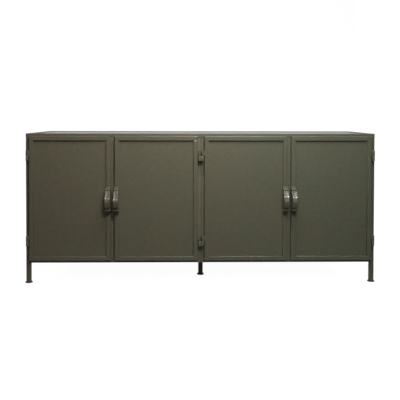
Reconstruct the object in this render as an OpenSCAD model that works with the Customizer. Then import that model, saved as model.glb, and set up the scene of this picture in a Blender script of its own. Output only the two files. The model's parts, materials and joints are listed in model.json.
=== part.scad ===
// Low industrial sideboard: a welded square-tube frame on five round feet, four overlay doors in two
// pairs, each a mitred tube frame round a recessed sheet, with lift-off barrel hinges and bow handles.
// X runs along the front, left to right, Y runs from the front to the back, Z is up from the floor.

/* [Cabinet] */
// Width over the corner posts
body_w = 1600; // [1300:10:2000]
// Depth over the corner posts
body_d = 400; // [320:5:550]
// Height of the top over the floor
body_h = 685; // [560:5:900]
// Clear height under the cabinet
leg_clear = 92; // [60:1:160]
// Height of the shelves over the cabinet floor
shelf_rise = 275; // [180:5:340]
// Distance of the centre leg's axis behind the front
centre_leg_back = 129; // [60:1:180]

/* [Square tube] */
// Side of the square tube
tube = 20; // [18:0.5:24]
// Wall of the square tube
tube_wall = 1.5; // [1:0.1:2]
// Outer corner radius of the square tube
tube_r = 2.5; // [2.2:0.1:3.5]
// Width of the posts that a pair of doors closes on
mid_post_w = 40; // [34:1:50]
// Side of the centre leg's square tube
centre_leg_w = 22; // [20:0.5:25]

/* [Sheet] */
// Thickness of the sheet panels
sheet_t = 1.2; // [0.8:0.1:2]
// Depth of the door, side and back sheets behind their tubes' faces
panel_recess = 8; // [4:0.5:14]
// Depth of the top sheet below its rim
top_recess = 3; // [1:0.5:6]
// Depth of the shelves' folded front and back edges
shelf_lip = 18; // [10:1:30]
// Side of the angle bars that carry the shelves
angle_w = 20; // [12:1:30]
// Thickness of the angle bars
angle_t = 2; // [1.5:0.5:4]

/* [Doors] */
// Distance of the mid posts' centres from the middle of the cabinet
mid_post_x = 402.5; // [385:0.5:415]
// Frame showing between the outer doors and the cabinet's sides
side_reveal = 19.5; // [16:0.5:24]
// Gap between the two inner doors
centre_gap = 30; // [28.5:0.5:36]
// Gap between the doors of a pair
mid_gap = 17.5; // [10:0.5:24]
// Frame showing over the doors
top_reveal = 11; // [6:0.5:14]
// Frame showing under the doors
bottom_reveal = 13; // [6:0.5:16]
// Gap between the closed doors and the frame
door_gap = 0.8; // [0.5:0.1:1.5]

/* [Hinges] */
// Height of a hinge
hinge_h = 50; // [40:1:70]
// Diameter of the hinge barrels
barrel_d = 12; // [10:0.5:13]
// Diameter of the hinge pins
pin_d = 6; // [4:0.5:7]
// Distance of the hinge axis outside the door's edge
hinge_offset = 8; // [7:0.25:8.75]
// Distance of the hinge axis in front of the frame
hinge_out = 20; // [16:0.5:22]
// Distance of the hinges' centres from the doors' ends
hinge_inset = 90; // [60:5:130]
// Thickness of the washer between the two barrels
washer_t = 1; // [0.6:0.1:2]
// Thickness of the webs that are welded to post and door
web_t = 6; // [4:0.5:6.5]

/* [Handles] */
// Length of a handle
handle_len = 120; // [105:5:160]
// Width of a handle's strap
handle_w = 22; // [16:1:26]
// Distance that a handle stands out from its door
handle_out = 48; // [40:1:54]
// Thickness of a handle's strap
handle_t = 5; // [4:0.5:7]
// Height of a handle's solid feet
handle_foot = 15; // [12:0.5:18]
// Distance of the handles' centres below the doors' centres
handle_drop = 6; // [0:1:30]
// Width of the channel along a handle's strap
channel_w = 9; // [4:0.5:12]
// Depth of the channel along a handle's strap
channel_t = 0.8; // [0.4:0.1:1.2]
// Diameter of the handle screws
handle_screw_d = 4; // [3:0.5:5]

/* [Catches] */
// Width of a magnetic catch
catch_w = 34; // [30:1:40]
// Height of a magnetic catch
catch_h = 12; // [10:0.5:15]
// Depth of a magnetic catch
catch_d = 18; // [14:0.5:20]
// Width of a catch's magnet
magnet_w = 16; // [10:1:18]
// Height of a catch's magnet
magnet_h = 7; // [4:0.5:8]
// Depth of a magnet inside its case
magnet_d = 6; // [3:0.5:8]
// Distance between the two screws of a catch
catch_screw_gap = 24; // [22:0.5:24]
// Gap between a catch and the mid post
catch_post_gap = 1; // [0.5:0.5:4]
// Diameter of the catch screws
catch_screw_d = 3; // [2.5:0.5:3.5]
// Length of the catch screws inside the tube
catch_screw_end = 3; // [1:0.5:6]

/* [Feet] */
// Diameter of the foot discs
foot_d = 34; // [33:1:44]
// Thickness of the foot discs
foot_t = 4.5; // [3.5:0.5:8]
// Length of the plugs inside the legs
plug_len = 18; // [10:1:30]

/* [Hidden] */
$fn = 48;

paint = "#5a5543";
dark_paint = "#4a4637";
bare_steel = "#a7a49c";
black_plastic = "#26251f";

// Small lengths that the pieces share
cut = 1;            // how far a cutting shape runs past what it cuts
pin_play = 0.05;    // running clearance round pins, screws and washers
shelf_play = 1;     // clearance round a shelf
plug_play = 0.2;    // clearance round a foot's plug
magnet_gap = 0.3;   // gap between a magnet and its closed door
edge_bevel = 1;     // bevel on the ends of the hinge barrels

// The frame is centred on the whole object, whose handles reach out in front and whose feet behind
foot_over = (foot_d - tube) / 2;
front = (door_gap + tube + handle_out - body_d - foot_over) / 2;
rear = front + body_d;
side = body_w / 2;
post_x = side - tube / 2;
front_post_y = front + tube / 2;
rear_post_y = rear - tube / 2;
inner_d = body_d - 2 * tube;
middle_y = (front + rear) / 2;

// Levels
top_rail_z = body_h - tube / 2;
under_top = body_h - tube;
top_sheet_z = body_h - top_recess - sheet_t;
bottom_rail_z = leg_clear + tube / 2;
floor_top = leg_clear + tube;
shelf_z = floor_top + shelf_rise;

// Doors, left to right: their edges, centres and the side that each is hinged on
inner_door_w = mid_post_x - mid_gap / 2 - centre_gap / 2;
outer_door_w = side - side_reveal - mid_post_x - mid_gap / 2;
door_w = [outer_door_w, inner_door_w, inner_door_w, outer_door_w];
door_bottom = leg_clear + bottom_reveal;
door_top = body_h - top_reveal;
door_h = door_top - door_bottom;
door_mid_z = (door_top + door_bottom) / 2;
outer_door_x = side - side_reveal - outer_door_w / 2;
inner_door_x = centre_gap / 2 + inner_door_w / 2;
door_x = [-outer_door_x, -inner_door_x, inner_door_x, outer_door_x];
hinge_side = [-1, 1, -1, 1];
door_back = front - door_gap;
door_front = door_back - tube;

// Hinges
hinge_x = [for (i = [0:3]) door_x[i] + hinge_side[i] * (door_w[i] / 2 + hinge_offset)];
hinge_y = front - hinge_out;
hinge_z = [door_bottom + hinge_inset, door_top - hinge_inset];
barrel_h = (hinge_h - washer_t) / 2;
bore_floor = 2.5;
pin_end_gap = 1;         // space over the pin's end in the upper barrel

// Handles: a bow that is part of a circle, whose centre lies behind the door's face
bow_r = (pow(handle_len / 2, 2) + pow(handle_out, 2)) / (2 * handle_out);
bow_back = bow_r - handle_out;
handle_z = door_mid_z - handle_drop;
handle_x = [for (i = [0:3]) door_x[i] - hinge_side[i] * (door_w[i] - tube) / 2];
handle_screw_z = handle_len / 2 - handle_foot / 2;
handle_screw_deep = 9;
handle_screw_end = 1;    // depth of its hole past a handle screw's end
screw_head_t = 2.4;
driver_play = 0.5;       // clearance round a handle screw's head in the door's back wall

// Catches, one beside each mid post for each door
catch_x = [for (s = [-1, 1], t = [-1, 1]) s * mid_post_x + t * (mid_post_w / 2 + catch_post_gap + catch_w / 2)];
catch_screw_y = front + catch_d / 2;

// ---- Shapes that repeat ----

// A square with round corners, made of squares and circles so that its faces stay true
module round_square(w, h, r) {
  square([w, h - 2 * r], center = true);
  square([w - 2 * r, h], center = true);
  for (x = [-1, 1], y = [-1, 1])
    translate([x * (w / 2 - r), y * (h / 2 - r)]) circle(r = r);
}

// The section of a tube of width w and height h
module tube_section(w, h) {
  difference() {
    round_square(w, h, tube_r);
    round_square(w - 2 * tube_wall, h - 2 * tube_wall, tube_r - tube_wall);
  }
}

// An upright tube on a centre line, between two levels
module upright(x, y, low, high, w = tube, h = tube) {
  translate([x, y, low]) linear_extrude(height = high - low) tube_section(w, h);
}

// A level tube along X or along Y, between two ends
module tube_along_x(x0, x1, y, z) {
  translate([x0, y, z]) rotate([0, 90, 0]) linear_extrude(height = x1 - x0) tube_section(tube, tube);
}
module tube_along_y(y0, y1, x, z) {
  translate([x, y0, z]) rotate([-90, 0, 0]) linear_extrude(height = y1 - y0) tube_section(tube, tube);
}

// A tube along X with ends mitred at 45 degrees; its long side faces -Y
module mitred_tube(length) {
  reach = tube / 2 + cut;
  half = (length - tube) / 2;
  intersection() {
    rotate([0, 90, 0]) linear_extrude(height = length + 2 * cut, center = true) tube_section(tube, tube);
    linear_extrude(height = 2 * reach, center = true)
      polygon([[-half - reach, -reach], [half + reach, -reach],
               [half - reach, reach], [-half + reach, reach]]);
  }
}

// A plain block between two corners
module block(low, high) {
  translate(low) cube(high - low);
}

// A hinge barrel standing on z = 0, with a bevel on its outer end
module barrel() {
  cylinder(d = barrel_d, h = barrel_h - edge_bevel);
  translate([0, 0, barrel_h - edge_bevel])
    cylinder(d1 = barrel_d, d2 = barrel_d - 2 * edge_bevel, h = edge_bevel);
}

// A pan-head screw along +Z with the underside of its head at z = 0
module screw(d, length) {
  cylinder(d = d, h = length);
  translate([0, 0, -screw_head_t]) cylinder(d = 2 * d, h = screw_head_t);
}

// ---- Frame ----

module corner_post(x, y) {
  color(paint) upright(x, y, foot_t, under_top);
}

module rear_centre_post() {
  color(paint) upright(0, rear_post_y, floor_top, under_top);
}

// Two tubes stand side by side, and each carries the hinges of one inner door
module front_centre_post(s) {
  color(paint) upright(s * tube / 2, front_post_y, leg_clear, under_top);
}

module mid_post(s) {
  color(paint) upright(s * mid_post_x, front_post_y, floor_top, under_top, mid_post_w, tube);
}

// Front top rail with holes for the catch screws in its lower wall
module front_top_rail() {
  color(paint) difference() {
    translate([0, front_post_y, top_rail_z]) mitred_tube(body_w);
    for (x = catch_x, s = [-1, 1])
      translate([x + s * catch_screw_gap / 2, catch_screw_y, under_top - cut])
        cylinder(d = catch_screw_d + 2 * pin_play, h = tube_wall + 2 * cut);
  }
}

module rear_top_rail() {
  color(paint) translate([0, rear_post_y, top_rail_z]) rotate([0, 0, 180]) mitred_tube(body_w);
}

module side_top_rail(s) {
  color(paint) translate([s * post_x, middle_y, top_rail_z]) rotate([0, 0, s * 90]) mitred_tube(body_d);
}

module top_cross_rail() {
  color(paint) tube_along_y(front + tube, rear - tube, 0, top_sheet_z - tube / 2);
}

// From a corner post to the centre posts
module front_bottom_rail(s) {
  x = s * side / 2;
  reach = side / 2 - tube;
  color(paint) tube_along_x(x - reach, x + reach, front_post_y, bottom_rail_z);
}

module rear_bottom_rail() {
  color(paint) tube_along_x(-side + tube, side - tube, rear_post_y, bottom_rail_z);
}

module side_bottom_rail(s) {
  color(paint) tube_along_y(front + tube, rear - tube, s * post_x, bottom_rail_z);
}

module bottom_cross_rail() {
  color(paint) tube_along_y(front + tube, rear - tube, 0, bottom_rail_z);
}

module centre_leg() {
  color(dark_paint)
    upright(0, front + centre_leg_back, foot_t, leg_clear, centre_leg_w, centre_leg_w);
}

// A foot disc with a sloped rim and a plug that fills the end of a leg of width w
module foot(x, y, w) {
  rim = foot_t / 2;
  translate([x, y, 0]) {
    cylinder(d = foot_d, h = rim);
    translate([0, 0, rim]) cylinder(d1 = foot_d, d2 = foot_d - 2 * rim, h = foot_t - rim);
    cylinder(d = w - 2 * tube_wall - 2 * plug_play, h = foot_t + plug_len);
  }
}

module feet() {
  color(dark_paint) {
    for (x = [-post_x, post_x], y = [front_post_y, rear_post_y]) foot(x, y, tube);
    foot(0, front + centre_leg_back, centre_leg_w);
  }
}

// ---- Sheet ----

module top_panel() {
  color(paint) block([-side + tube, front + tube, top_sheet_z],
                     [side - tube, rear - tube, top_sheet_z + sheet_t]);
}

// Between the cross rail and the side rail, flush with their tops
module floor_panel(s) {
  color(paint) translate([s * (side - tube / 2) / 2, middle_y, floor_top - sheet_t / 2])
    cube([side - 1.5 * tube, inner_d, sheet_t], center = true);
}

module side_panel(s) {
  color(paint) translate([s * (side - panel_recess - sheet_t / 2), middle_y, (floor_top + under_top) / 2])
    cube([sheet_t, inner_d, under_top - floor_top], center = true);
}

module back_panel(s) {
  color(paint) translate([s * (side - tube / 2) / 2, rear - panel_recess - sheet_t / 2,
                          (floor_top + under_top) / 2])
    cube([side - 1.5 * tube, sheet_t, under_top - floor_top], center = true);
}

module centre_partition() {
  color(paint) block([-sheet_t / 2, front + tube, floor_top],
                     [sheet_t / 2, rear - tube, top_sheet_z - tube]);
}

// ---- Shelves ----

side_sheet_inner = side - panel_recess - sheet_t;
shelf_x0 = sheet_t / 2 + angle_t + shelf_play;
shelf_x1 = side_sheet_inner - angle_t - shelf_play;
shelf_y0 = front + tube + shelf_play;
shelf_y1 = rear - tube - shelf_play;

// A sheet with its front and back edges folded down
module shelf(s) {
  color(paint) mirror([s < 0 ? 1 : 0, 0, 0]) {
    block([shelf_x0, shelf_y0, shelf_z], [shelf_x1, shelf_y1, shelf_z + sheet_t]);
    for (y = [shelf_y0, shelf_y1 - sheet_t])
      block([shelf_x0 + angle_w, y, shelf_z - shelf_lip],
            [shelf_x1 - angle_w, y + sheet_t, shelf_z + sheet_t]);
  }
}

// An angle bar, its level leg under the shelf and its upright leg against a sheet at x, towards t
module angle_bar(x, t) {
  mirror([t < 0 ? 1 : 0, 0, 0]) {
    block([t * x, front + tube, shelf_z - angle_t], [t * x + angle_w, rear - tube, shelf_z]);
    block([t * x, front + tube, shelf_z - angle_w], [t * x + angle_t, rear - tube, shelf_z]);
  }
}

module shelf_angles() {
  color(dark_paint) for (s = [-1, 1]) {
    angle_bar(s * side_sheet_inner, -s);
    angle_bar(s * sheet_t / 2, s);
  }
}

// ---- Hinges ----

// A lower half: a barrel on a web that is welded to the post behind it
module frame_knuckle(x, z) {
  translate([x, hinge_y, z - hinge_h / 2]) {
    translate([0, 0, barrel_h]) mirror([0, 0, 1]) barrel();
    translate([-web_t / 2, 0, 0]) cube([web_t, hinge_out, barrel_h]);
  }
}

// The blind bore that holds the pin in a lower half
module pin_seat(x, z) {
  translate([x, hinge_y, z - hinge_h / 2 + bore_floor])
    cylinder(d = pin_d + 2 * pin_play, h = barrel_h);
}

// The two lower halves on the centre posts are joined by a bridge between their barrels
module hinge_frame_knuckles() {
  color(paint) for (z = hinge_z) {
    for (i = [0, 3]) difference() {
      frame_knuckle(hinge_x[i], z);
      pin_seat(hinge_x[i], z);
    }
    difference() {
      union() {
        for (i = [1, 2]) frame_knuckle(hinge_x[i], z);
        translate([0, hinge_y, z - (hinge_h - barrel_h) / 2])
          cube([hinge_x[2] - hinge_x[1], web_t, barrel_h], center = true);
      }
      for (i = [1, 2]) pin_seat(hinge_x[i], z);
    }
  }
}

module hinge_pins() {
  color(bare_steel) for (x = hinge_x, z = hinge_z)
    translate([x, hinge_y, z - hinge_h / 2 + bore_floor])
      cylinder(d = pin_d, h = hinge_h - 2 * bore_floor - pin_end_gap);
}

module hinge_washers() {
  color(bare_steel) for (x = hinge_x, z = hinge_z) translate([x, hinge_y, z - washer_t / 2])
    difference() {
      cylinder(d = barrel_d - edge_bevel, h = washer_t);
      translate([0, 0, -cut]) cylinder(d = pin_d + 2 * pin_play, h = washer_t + 2 * cut);
    }
}

// Upper halves: a barrel that drops over the pin, on a web that is welded to the door's edge
module door_knuckles(i) {
  web_back = door_front + tube_r;
  color(paint) for (z = hinge_z) translate([0, 0, z + washer_t / 2 + pin_play]) difference() {
    union() {
      translate([hinge_x[i], hinge_y, 0]) barrel();
      translate([door_x[i] + hinge_side[i] * (door_w[i] + hinge_offset) / 2,
                 web_back + web_t / 2, (barrel_h - edge_bevel) / 2])
        cube([hinge_offset, web_t, barrel_h - edge_bevel], center = true);
    }
    translate([hinge_x[i], hinge_y, -cut])
      cylinder(d = pin_d + 2 * pin_play, h = cut + barrel_h - bore_floor);
  }
}

// ---- Catches ----

module catch_cases() {
  color(black_plastic) for (x = catch_x) difference() {
    block([x - catch_w / 2, front, under_top - catch_h], [x + catch_w / 2, front + catch_d, under_top]);
    translate([x, front, under_top - catch_h / 2])
      cube([magnet_w, 2 * magnet_d, magnet_h], center = true);
    for (s = [-1, 1]) translate([x + s * catch_screw_gap / 2, catch_screw_y, under_top - catch_h - cut])
      cylinder(d = catch_screw_d + 2 * pin_play, h = catch_h + 2 * cut);
  }
}

module catch_magnets() {
  color(bare_steel) for (x = catch_x)
    block([x - magnet_w / 2, door_back + magnet_gap, under_top - (catch_h + magnet_h) / 2],
          [x + magnet_w / 2, front + magnet_d, under_top - (catch_h - magnet_h) / 2]);
}

module catch_screws() {
  color(bare_steel) for (x = catch_x, s = [-1, 1])
    translate([x + s * catch_screw_gap / 2, catch_screw_y, under_top - catch_h])
      screw(catch_screw_d, catch_h + tube_wall + catch_screw_end);
}

// ---- Doors ----

// Four mitred tubes; the stile away from the hinges is drilled for the handle's screws
module door_frame(i) {
  color(paint) translate([door_x[i], door_front + tube / 2, door_mid_z]) rotate([90, 0, 0]) {
    translate([0, -(door_h - tube) / 2, 0]) mitred_tube(door_w[i]);
    translate([0, (door_h - tube) / 2, 0]) rotate([0, 0, 180]) mitred_tube(door_w[i]);
    translate([hinge_side[i] * (door_w[i] - tube) / 2, 0, 0])
      rotate([0, 0, hinge_side[i] * 90]) mitred_tube(door_h);
    difference() {
      translate([-hinge_side[i] * (door_w[i] - tube) / 2, 0, 0])
        rotate([0, 0, -hinge_side[i] * 90]) mitred_tube(door_h);
      for (s = [-1, 1])
        translate([-hinge_side[i] * (door_w[i] - tube) / 2, s * handle_screw_z - handle_drop, 0]) {
          cylinder(d = handle_screw_d + 2 * pin_play, h = tube);
          translate([0, 0, -tube]) cylinder(d = 2 * (handle_screw_d + driver_play), h = tube);
        }
    }
  }
}

module door_panel(i) {
  color(paint) translate([door_x[i], door_front + panel_recess + sheet_t / 2, door_mid_z])
    cube([door_w[i] - 2 * tube, sheet_t, door_h - 2 * tube], center = true);
}

// A disc of the bow's circle, as wide as w, with its axis along X
module bow_disc(r, w) {
  rotate([0, 90, 0]) cylinder(r = r, h = w, center = true, $fn = 96);
}

// A bow strap on two solid feet, with a groove over each foot and a channel along the strap
module handle(i) {
  foot_z = handle_len / 2 - handle_foot;
  groove = 1.6;
  color(paint) translate([handle_x[i], door_front, handle_z]) difference() {
    intersection() {
      translate([0, bow_back, 0]) bow_disc(bow_r, handle_w);
      block([-handle_w, -bow_r, -bow_r], [handle_w, 0, bow_r]);
    }
    intersection() {
      translate([0, bow_back, 0]) bow_disc(bow_r - handle_t, handle_w + 2 * cut);
      block([-handle_w, -bow_r, -foot_z], [handle_w, cut, foot_z]);
    }
    translate([0, bow_back, 0]) difference() {
      bow_disc(bow_r + cut, channel_w);
      bow_disc(bow_r - channel_t, channel_w + 2 * cut);
      for (s = [-1, 1]) translate([0, 0, s * bow_r])
        cube([handle_w, 2 * bow_r, 2 * (bow_r - foot_z)], center = true);
    }
    for (s = [-1, 1]) {
      translate([0, bow_back, s * foot_z]) difference() {
        cube([handle_w + 2 * cut, 3 * bow_r, groove], center = true);
        bow_disc(bow_r - groove, handle_w + 4 * cut);
      }
      translate([0, cut, s * handle_screw_z]) rotate([90, 0, 0])
        cylinder(d = handle_screw_d + 2 * pin_play, h = handle_screw_deep + cut);
    }
  }
}

module handle_screws(i) {
  color(bare_steel) for (s = [-1, 1])
    translate([handle_x[i], door_front + tube_wall, handle_z + s * handle_screw_z])
      rotate([90, 0, 0]) screw(handle_screw_d, tube_wall + handle_screw_deep - handle_screw_end);
}

corner_post(-post_x, front_post_y);  // front_left_post
corner_post(post_x, front_post_y);  // front_right_post
corner_post(-post_x, rear_post_y);  // rear_left_post
corner_post(post_x, rear_post_y);  // rear_right_post
rear_centre_post();
front_centre_post(-1);  // front_centre_left_post
front_centre_post(1);  // front_centre_right_post
mid_post(-1);  // left_mid_post
mid_post(1);  // right_mid_post
front_top_rail();
rear_top_rail();
side_top_rail(-1);  // left_top_rail
side_top_rail(1);  // right_top_rail
top_cross_rail();
front_bottom_rail(-1);  // front_left_bottom_rail
front_bottom_rail(1);  // front_right_bottom_rail
rear_bottom_rail();
side_bottom_rail(-1);  // left_bottom_rail
side_bottom_rail(1);  // right_bottom_rail
bottom_cross_rail();
top_panel();
floor_panel(-1);  // left_floor_panel
floor_panel(1);  // right_floor_panel
side_panel(-1);  // left_side_panel
side_panel(1);  // right_side_panel
back_panel(-1);  // left_back_panel
back_panel(1);  // right_back_panel
centre_partition();
shelf(-1);  // left_shelf
shelf(1);  // right_shelf
shelf_angles();
centre_leg();
feet();
hinge_frame_knuckles();
hinge_pins();
hinge_washers();
catch_cases();
catch_magnets();
catch_screws();
door_frame(0);  // door_1_frame
door_panel(0);  // door_1_panel
handle(0);  // door_1_handle
handle_screws(0);  // door_1_handle_screws
door_knuckles(0);  // door_1_hinge_knuckles
door_frame(1);  // door_2_frame
door_panel(1);  // door_2_panel
handle(1);  // door_2_handle
handle_screws(1);  // door_2_handle_screws
door_knuckles(1);  // door_2_hinge_knuckles
door_frame(2);  // door_3_frame
door_panel(2);  // door_3_panel
handle(2);  // door_3_handle
handle_screws(2);  // door_3_handle_screws
door_knuckles(2);  // door_3_hinge_knuckles
door_frame(3);  // door_4_frame
door_panel(3);  // door_4_panel
handle(3);  // door_4_handle
handle_screws(3);  // door_4_handle_screws
door_knuckles(3);  // door_4_hinge_knuckles
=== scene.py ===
# %% [markdown]
# # A welded steel sideboard
# The real object is a long, low cabinet of square steel tube and thin sheet, sprayed one satin olive. Its
# solids arrive here as a imported model, a fixed frame that nothing in this file moves or resizes. What this
# file adds is what a close look finds on such a cabinet: tube with soft corners and fine seams where it was
# mitred, sheet that is never quite flat, hinge barrels and their weld beads, cast bow handles worn by hands,
# with a painted highlight on the wear, and the paint, with painted light and painted shade on some parts.
# Everything is in metres. X runs along the front, Y from the front to the back and Z up from the floor.

import json
import math

import bpy
import numpy as np
from mathutils import Matrix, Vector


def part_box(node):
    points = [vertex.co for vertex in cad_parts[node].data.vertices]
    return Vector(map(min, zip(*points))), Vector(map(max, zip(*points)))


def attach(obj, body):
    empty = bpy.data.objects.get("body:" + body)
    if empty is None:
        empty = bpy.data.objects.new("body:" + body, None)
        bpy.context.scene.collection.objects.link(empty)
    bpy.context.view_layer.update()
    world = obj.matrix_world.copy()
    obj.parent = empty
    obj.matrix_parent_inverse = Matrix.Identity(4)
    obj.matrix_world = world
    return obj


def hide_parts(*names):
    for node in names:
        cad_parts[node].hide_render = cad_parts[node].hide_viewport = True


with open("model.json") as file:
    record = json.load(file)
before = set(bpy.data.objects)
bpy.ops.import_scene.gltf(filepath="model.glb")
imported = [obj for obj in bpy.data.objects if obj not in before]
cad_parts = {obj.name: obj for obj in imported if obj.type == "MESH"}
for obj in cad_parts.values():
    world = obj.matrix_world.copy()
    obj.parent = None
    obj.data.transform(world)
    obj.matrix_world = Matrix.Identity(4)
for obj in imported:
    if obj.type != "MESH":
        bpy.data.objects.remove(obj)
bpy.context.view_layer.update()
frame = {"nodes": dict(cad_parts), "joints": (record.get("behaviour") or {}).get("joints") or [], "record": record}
NODES = frame["nodes"]
RECORD = frame["record"]
BODY_OF = {node: body for body, names in RECORD["behaviour"]["bodies"].items() for node in names}
SLOT_OF = {part["node"]: part["material_slot"] for part in RECORD["subparts"]}

# %% [markdown]
# ## Sizes
# A piece goes where the model says, so its place is read from the box of the node that it stands for. Only
# the small sizes that a box can't tell, such as a corner's radius, are written here, in millimetres times
# mm.

# %% Sizes that several pieces share
mm = 0.001


def corners(node):
    """Lowest and highest corner of a node, as two arrays."""
    low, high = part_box(node)
    return np.array(low), np.array(high)


front_rail_low, front_rail_high = corners("front_top_rail")
TUBE = front_rail_high[2] - front_rail_low[2]
FRONT = front_rail_low[1]
REAR = corners("rear_top_rail")[1][1]
TOP = front_rail_high[2]
SIDE = front_rail_high[0]
TUBE_CORNER = 2.5 * mm
DOORS = ("door_1", "door_2", "door_3", "door_4")
print("tube", round(TUBE / mm, 2), "mm, front at", round(FRONT, 4), "and top at", round(TOP, 4))

# %% [markdown]
# ## Camera
# The cabinet is seen almost square on, from a little to the left of its middle and from just above its top,
# so the top shows as a thin bright sliver. A camera has a place, three turns and a lens. The turns could
# carry the whole view, but tilting a camera down makes upright posts lean. So the turns stay small, and the
# lens is shifted down instead, which keeps the posts upright as a camera on a stand would.

# %% Camera
LENS = 48
SHIFT_DOWN = 0.1856
EYE = (-0.0467, -2.6118, 0.7637)
TURN_RIGHT = math.radians(0.970)
TILT_DOWN = math.radians(1.003)
ROLL = math.radians(0.100)

camera_data = bpy.data.cameras.new("camera")
camera = bpy.data.objects.new("camera", camera_data)
bpy.context.scene.collection.objects.link(camera)
bpy.context.scene.camera = camera
camera_data.sensor_width = 36
camera_data.lens = LENS
camera_data.shift_y = -SHIFT_DOWN
camera_data.clip_start = 0.05
camera_data.clip_end = 60
aim = (
    Matrix.Rotation(-TURN_RIGHT, 3, "Z")
    @ Matrix.Rotation(math.pi / 2 - TILT_DOWN, 3, "X")
    @ Matrix.Rotation(ROLL, 3, "Z")
)
camera.location = EYE
camera.rotation_euler = aim.to_euler()
print("camera at", EYE, "with a lens of", LENS, "mm")

# %% [markdown]
# ## Grids of points
# Each new piece is a surface worked out with numpy: a grid of points that is a function of two parameters.
# It could be modelled by hand from cubes and cylinders, but a formula keeps every size in plain sight. A
# grid can wrap round in one direction to make a tube, and its two ends are then closed by one face each.

# %% Faces of a grid


def grid_faces(rows, columns, wrap=False):
    """Four-sided faces of a grid of points. Point (row, column) has the number row * columns + column.
    With wrap, the last column joins the first."""
    across = columns if wrap else columns - 1
    row, column = np.meshgrid(np.arange(rows - 1), np.arange(across), indexing="ij")
    beside = (column + 1) % columns
    this_row, next_row = row * columns, (row + 1) * columns
    round_a_face = [this_row + column, this_row + beside, next_row + beside, next_row + column]
    return np.stack(round_a_face, -1).reshape(-1, 4)


print("faces of a grid of 3 by 4 points:", len(grid_faces(3, 4)))

# %% [markdown]
# ## Closed solids
# Faces have to point outwards, or light and other programs take the inside for the outside. Blender can
# recalculate them, but there is a simple test: a closed surface whose faces point outwards has a positive
# volume. So each solid's volume is summed as it is made, and one that comes out negative is turned round.

# %% Volume, solid and joined solids


def volume(points, faces):
    """A closed surface's volume: a sixth of the sum, over its triangles, of corner . (corner x corner)."""
    total = 0.0
    for group in faces:
        for k in range(1, group.shape[-1] - 1):
            a, b, c = (points[group[..., i]] for i in (0, k, k + 1))
            total += float(np.sum(a * np.cross(b, c))) / 6
    return total


def solid(points, *faces):
    """A closed solid as (points, list of face arrays), turned so that its faces point outwards."""
    points = np.asarray(points, float).reshape(-1, 3)
    groups = [np.atleast_2d(np.asarray(group)) for group in faces]
    if volume(points - points.mean(0), groups) < 0:
        groups = [group[:, ::-1] for group in groups]
    return points, groups


def joined(solids):
    """Several solids as one: all their points in a row, and each solid's face numbers moved on by the number
    of points before it."""
    starts = np.cumsum([0] + [len(points) for points, _ in solids])
    points = np.concatenate([points for points, _ in solids])
    return points, [group + start for (_, groups), start in zip(solids, starts) for group in groups]


def closed_rings(rings):
    """A closed solid through rings of points, shaped (rings, points, 3), with one face over each end."""
    count, points = rings.shape[:2]
    first = np.arange(points)
    return solid(rings, grid_faces(count, points, wrap=True), first[::-1], first + (count - 1) * points)


corner = np.array([(-1, -1), (1, -1), (1, 1), (-1, 1)])
cube = closed_rings(np.stack([np.insert(corner, 2, height, axis=1) for height in (-1, 1)]))
print("a cube of side 2 holds", volume(*cube))

# %% [markdown]
# ## Pieces
# A mesh object shows a solid. Smooth shading hides the facets of a round surface, and an edge sharper than
# the crease angle stays crisp. A piece then gets its finish, rides on the body that carries it, and hides
# the plain nodes that it stands for, so that nothing is seen twice.

# %% Mesh objects and their place on the cabinet
MATERIALS = {}


def mesh_object(name, shape, crease=38):
    """A mesh object of a solid, shaded smooth where two faces meet at less than crease degrees."""
    points, groups = shape
    faces = [face for group in groups for face in group.tolist()]
    mesh = bpy.data.meshes.new(name)
    mesh.from_pydata(points.tolist(), [], faces)
    mesh.shade_smooth()
    mesh.set_sharp_from_angle(angle=math.radians(crease))
    piece = bpy.data.objects.new(name, mesh)
    bpy.context.scene.collection.objects.link(piece)
    return piece


def place(piece, body, slot, *replaced, finish=None):
    """Gives a piece its slot's material, or another finish of it, makes it ride on its body and, where it
    stands for nodes, hides those."""
    piece.data.materials.append(finish or MATERIALS[slot])
    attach(piece, body)
    if replaced:
        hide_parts(*replaced)
    return piece


# %% [markdown]
# ## Nodes
# A finish is a small machine of nodes: numbers and colours flow along links, from socket to socket. Each
# helper here adds one node and returns the socket that its result leaves by, so that a finish reads like a
# sentence. All patterns read Object coordinates, in metres, so they sit still on a piece wherever it
# swings.

# %% Values, places and sums


def feed(tree, socket, value):
    """Links a socket to the one that feeds it, or sets it to a plain number or colour."""
    if isinstance(value, bpy.types.NodeSocket):
        tree.links.new(value, socket)
    else:
        socket.default_value = (*value, 1) if isinstance(value, tuple) else value


def object_place(tree):
    """Where a point lies on its object."""
    return tree.nodes.new("ShaderNodeTexCoord").outputs["Object"]


def part_of(tree, where, axis):
    """One coordinate, X, Y or Z, of a place."""
    node = tree.nodes.new("ShaderNodeSeparateXYZ")
    feed(tree, node.inputs["Vector"], where)
    return node.outputs[axis]


def combined(tree, operation, first, second):
    """One number from two, each a socket or a plain number."""
    node = tree.nodes.new("ShaderNodeMath")
    node.operation = operation
    feed(tree, node.inputs[0], first)
    feed(tree, node.inputs[1], second)
    return node.outputs[0]


print("helpers for values:", feed.__name__, object_place.__name__, part_of.__name__, combined.__name__)

# %% Noise, stretches and mixtures
NOISE_LOW, NOISE_HIGH = 0.3, 0.7


def noise(tree, where, scale, detail=3.0):
    """The height of a noise texture at a place. The scale is its number of clouds to the metre."""
    node = tree.nodes.new("ShaderNodeTexNoise")
    feed(tree, node.inputs["Vector"], where)
    feed(tree, node.inputs["Scale"], scale)
    feed(tree, node.inputs["Detail"], detail)
    return node.outputs["Fac"]


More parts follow.
